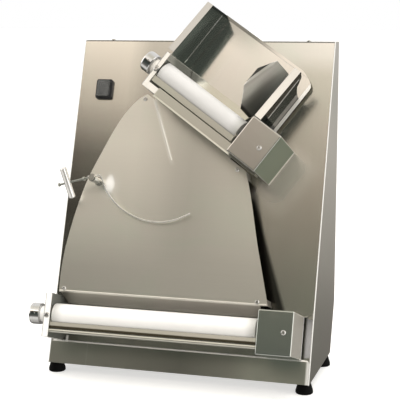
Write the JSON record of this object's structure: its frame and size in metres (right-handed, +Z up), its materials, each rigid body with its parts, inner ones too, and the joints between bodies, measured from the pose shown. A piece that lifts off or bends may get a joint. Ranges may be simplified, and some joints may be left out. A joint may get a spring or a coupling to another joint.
{
  "type": "dough roller",
  "caption": "Tabletop two-stage pizza dough roller: leaning stainless cabinet, inclined upper rollers under a hopper, dough chute with balance arm, level lower rollers.",
  "frame": {"origin": "centre of the bounding box, at the soles of the feet", "axes": "+Z up, +X to the right seen from the working front, which faces -Y"},
  "size_m": [0.5442, 0.356, 0.7188],
  "materials": {
    "stainless": "bright annealed stainless sheet with a fine vertical grain",
    "steel": "turned and ground steel",
    "fastener": "stainless screws",
    "chrome": "polished chrome plate",
    "plate_alloy": "satin machined light alloy",
    "roller_plastic": "white food-grade plastic, satin",
    "black_plastic": "black moulded plastic",
    "boot_film": "smoky clear soft boot",
    "foot_rubber": "black rubber",
    "bronze": "sintered bronze bush",
    "motor_paint": "painted die-cast housing"
  },
  "bodies": {
    "cabinet": {"side_panel_left": "stainless", "side_panel_right": "stainless", "front_panel": "stainless", "front_skirt": "stainless", "base_plate": "stainless", "rear_cover": "stainless", "chute_panel": "stainless", "hopper_back": "stainless", "hopper_left_wall": "stainless", "hopper_right_wall": "stainless", "hopper_guide": "stainless", "lower_gear_cover": "stainless", "upper_gear_cover": "stainless", "lower_front_bar": "stainless", "upper_front_bar": "stainless", "cover_posts": "steel", "chute_spacers": "steel", "balance_pivot": "steel", "cover_screws": "fastener", "foot_bolts": "fastener", "chute_screws": "fastener", "unit_screws": "fastener", "lower_left_plate": "plate_alloy", "upper_left_plate": "plate_alloy", "lower_right_plate": "plate_alloy", "upper_right_plate": "plate_alloy", "switch_housing": "black_plastic", "cable_gland": "black_plastic", "switch_boot": "boot_film", "rubber_feet": "foot_rubber", "rear_bushes": "bronze", "gearmotors": "motor_paint"},
    "lower_rear_roller_set": {"lower_rear_roller": "roller_plastic", "lower_rear_shaft": "steel", "lower_rear_gear": "steel"},
    "lower_carriage": {"lower_bearing_blocks": "plate_alloy", "lower_front_scraper": "stainless"},
    "lower_front_roller_set": {"lower_front_roller": "roller_plastic", "lower_front_shaft": "steel", "lower_front_gear": "steel"},
    "lower_pinion": {"lower_drive_pinion": "steel"},
    "lower_adjuster": {"lower_adjust_shaft": "steel", "lower_knob": "chrome"},
    "upper_rear_roller_set": {"upper_rear_roller": "roller_plastic", "upper_rear_shaft": "steel", "upper_rear_gear": "steel"},
    "upper_carriage": {"upper_bearing_blocks": "plate_alloy", "upper_front_scraper": "stainless"},
    "upper_front_roller_set": {"upper_front_roller": "roller_plastic", "upper_front_shaft": "steel", "upper_front_gear": "steel"},
    "upper_pinion": {"upper_drive_pinion": "steel"},
    "upper_adjuster": {"upper_adjust_shaft": "steel", "upper_knob": "chrome"},
    "balance_arm_set": {"balance_arm": "steel", "balance_rod": "steel"},
    "counterweight": {"balance_weight": "chrome"},
    "rocker": {"switch_rocker": "black_plastic"}
  },
  "joints": [
    {"name": "lower_rear_roller_spin", "type": "hinge", "parent": "cabinet", "child": "lower_rear_roller_set", "pos_m": [0.2161, -0.07953, 0.10841], "axis": [1, 0, 0], "continuous": true},
    {"name": "lower_pinion_spin", "type": "hinge", "parent": "cabinet", "child": "lower_pinion", "pos_m": [0.2161, -0.03012, 0.09065], "axis": [1, 0, 0], "continuous": true},
    {"name": "lower_gap_slide", "type": "slide", "parent": "cabinet", "child": "lower_carriage", "axis": [0, -0.941, 0.3384], "range_m": [0, 0.004]},
    {"name": "lower_thickness_knob", "type": "hinge", "parent": "cabinet", "child": "lower_adjuster", "pos_m": [0.2161, -0.12375, 0.12432], "axis": [1, 0, 0], "range_deg": [0, 180]},
    {"name": "lower_front_roller_spin", "type": "hinge", "parent": "lower_carriage", "child": "lower_front_roller_set", "pos_m": [0.2161, -0.12187, 0.12364], "axis": [1, 0, 0], "continuous": true},
    {"name": "upper_rear_roller_spin", "type": "hinge", "parent": "cabinet", "child": "upper_rear_roller_set", "pos_m": [0.15816, 0.00617, 0.43541], "axis": [0.8231, -0.1921, -0.5344], "continuous": true},
    {"name": "upper_pinion_spin", "type": "hinge", "parent": "cabinet", "child": "upper_pinion", "pos_m": [0.15816, 0.05557, 0.41764], "axis": [0.8231, -0.1921, -0.5344], "continuous": true},
    {"name": "upper_gap_slide", "type": "slide", "parent": "cabinet", "child": "upper_carriage", "axis": [0, -0.941, 0.3384], "range_m": [0, 0.004]},
    {"name": "upper_thickness_knob", "type": "hinge", "parent": "cabinet", "child": "upper_adjuster", "pos_m": [0.15816, -0.03806, 0.45131], "axis": [0.8231, -0.1921, -0.5344], "range_deg": [0, 180]},
    {"name": "upper_front_roller_spin", "type": "hinge", "parent": "upper_carriage", "child": "upper_front_roller_set", "pos_m": [0.15816, -0.03617, 0.45063], "axis": [0.8231, -0.1921, -0.5344], "continuous": true},
    {"name": "balance_arm_swing", "type": "hinge", "parent": "cabinet", "child": "balance_arm_set", "pos_m": [-0.1724, -0.04689, 0.38094], "axis": [0, -0.941, 0.3384], "range_deg": [-35, 0]},
    {"name": "counterweight_slide", "type": "slide", "parent": "balance_arm_set", "child": "counterweight", "axis": [-0.9613, -0.0933, -0.2594], "range_m": [-0.02, 0.005]},
    {"name": "switch_rocker_tilt", "type": "hinge", "parent": "cabinet", "child": "rocker", "pos_m": [-0.1974, 0.08756, 0.54354], "axis": [1, 0, 0], "range_deg": [0, 18]}
  ],
  "couplings": [
    {"joint": "lower_pinion_spin", "follows": "lower_rear_roller_spin", "ratio": -0.75},
    {"joint": "lower_front_roller_spin", "follows": "lower_rear_roller_spin", "ratio": -1},
    {"joint": "lower_thickness_knob", "follows": "lower_gap_slide", "rad_per_m": 785.4},
    {"joint": "upper_pinion_spin", "follows": "upper_rear_roller_spin", "ratio": -0.75},
    {"joint": "upper_front_roller_spin", "follows": "upper_rear_roller_spin", "ratio": -1},
    {"joint": "upper_thickness_knob", "follows": "upper_gap_slide", "rad_per_m": 785.4}
  ]
}
